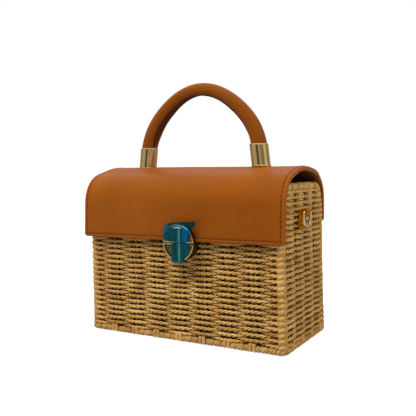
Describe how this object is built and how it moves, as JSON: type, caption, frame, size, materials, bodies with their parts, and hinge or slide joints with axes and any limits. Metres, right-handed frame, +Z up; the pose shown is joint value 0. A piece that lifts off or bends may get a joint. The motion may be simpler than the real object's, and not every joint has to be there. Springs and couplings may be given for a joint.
{
  "type": "handbag",
  "caption": "Woven straw box handbag with a curved leather flap, a rolled leather arch handle in brass ferrules, a round press clasp under blue peel-off film and side rings.",
  "frame": {"origin": "middle of the basket's base, on the surface that the bag stands on", "axes": "+X along the front to the right as seen from the front, -Y out of the front with the clasp, +Z up"},
  "size_m": [0.2146, 0.108, 0.2325],
  "materials": {
    "straw": "matt twisted paper straw, plain weave",
    "cloth": "plain woven cotton",
    "leather": "satin tan leather with a fine grain",
    "brass": "polished light gold plating",
    "steel": "plain",
    "film": "glossy, see-through"
  },
  "bodies": {
    "bag_body": {"basket": "straw", "lining": "cloth", "flap_back": "leather", "clasp_base": "brass", "clasp_catch": "steel", "clasp_base_backing": "steel", "clasp_screws": "steel", "film_lower": "film", "ring_plates": "brass", "ring_backings": "steel", "ring_rivets": "brass"},
    "flap_body": {"flap": "leather", "handle": "leather", "ferrules": "brass", "handle_screws": "steel", "handle_washers": "steel", "clasp_upper": "brass", "clasp_upper_backing": "steel", "clasp_rivets": "steel", "film_upper": "film"},
    "button_body": {"clasp_button": "brass"},
    "right_ring_body": {"ring_right": "brass"},
    "left_ring_body": {"ring_left": "brass"}
  },
  "joints": [
    {"name": "flap_hinge", "type": "hinge", "parent": "bag_body", "child": "flap_body", "pos_m": [0, 0.05045, 0.126], "axis": [-1, 0, 0], "range_deg": [0, 110], "deforming": ["clasp_catch"]},
    {"name": "clasp_press", "type": "slide", "parent": "bag_body", "child": "button_body", "axis": [0, 1, 0], "range_m": [0, 0.001], "stiffness_N_per_m": 400, "deforming": ["clasp_catch"]},
    {"name": "right_ring_swing", "type": "hinge", "parent": "bag_body", "child": "right_ring_body", "pos_m": [0.105, -0.008, 0.1146], "axis": [0, -1, 0], "range_deg": [0, 150]},
    {"name": "left_ring_swing", "type": "hinge", "parent": "bag_body", "child": "left_ring_body", "pos_m": [-0.105, -0.008, 0.1146], "axis": [0, 1, 0], "range_deg": [0, 150]}
  ]
}
